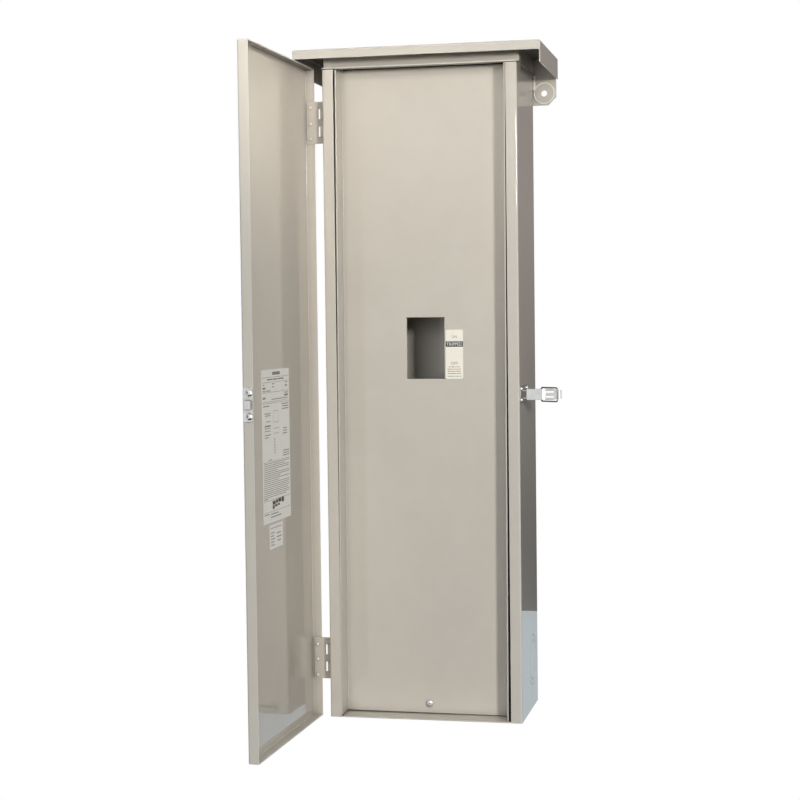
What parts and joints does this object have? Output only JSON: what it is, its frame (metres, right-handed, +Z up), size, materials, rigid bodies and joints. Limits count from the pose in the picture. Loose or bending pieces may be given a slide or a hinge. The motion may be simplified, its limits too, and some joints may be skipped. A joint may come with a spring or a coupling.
{
  "type": "circuit breaker enclosure",
  "caption": "Wall-mounted outdoor steel enclosure for a circuit breaker, with rain hood, open side-hinged door, recessed trim with a cut-out, and a draw latch with its keeper.",
  "frame": {"origin": "on the wall, midway between the two ear holes that take the upper wall bolts", "axes": "+X to the latch side, +Y into the wall, +Z up along the box"},
  "size_m": [0.3627, 0.423, 0.9197],
  "materials": {
    "enamel": "glossy warm grey baked enamel",
    "bright_steel": "bright plated steel",
    "decal": "printed vinyl decal",
    "label": "printed paper label"
  },
  "bodies": {
    "enclosure": {"box_wrapper": "enamel", "bottom_end_plate": "enamel", "top_end_cap": "enamel", "rain_hood": "enamel", "trim_tray": "enamel", "trim_screw": "bright_steel", "switch_decal": "decal", "bracket_lower": "enamel", "bracket_upper": "enamel", "ear_right": "enamel", "ear_left": "enamel", "ear_welds": "enamel", "wall_hinge_leaf_lower": "enamel", "wall_hinge_leaf_upper": "enamel", "latch_base": "bright_steel", "latch_base_rivets": "bright_steel", "latch_pin": "bright_steel"},
    "door": {"door_pan": "enamel", "door_label_large": "label", "door_label_small": "label", "door_hinge_leaf_lower": "enamel", "door_hinge_leaf_upper": "enamel", "keeper": "bright_steel", "keeper_rivets": "bright_steel"},
    "latch_lever": {"latch_lever": "bright_steel"},
    "latch_bail": {"latch_bail": "bright_steel"}
  },
  "joints": [
    {"name": "door_hinge", "type": "hinge", "parent": "enclosure", "child": "door", "pos_m": [-0.1384, -0.1377, -0.4171], "axis": [0, 0, 1], "range_deg": [-1, 91.5]},
    {"name": "lever_pivot", "type": "hinge", "parent": "enclosure", "child": "latch_lever", "pos_m": [0.1445, -0.1449, -0.4204], "axis": [0, 0, 1], "range_deg": [0, 90]},
    {"name": "bail_pivot", "type": "hinge", "parent": "latch_lever", "child": "latch_bail", "pos_m": [0.1623, -0.1445, -0.4204], "axis": [0, 0, 1], "range_deg": [-144, 0]}
  ],
  "couplings": [
    {"joint": "bail_pivot", "follows": "lever_pivot", "ratio": -1.6}
  ]
}
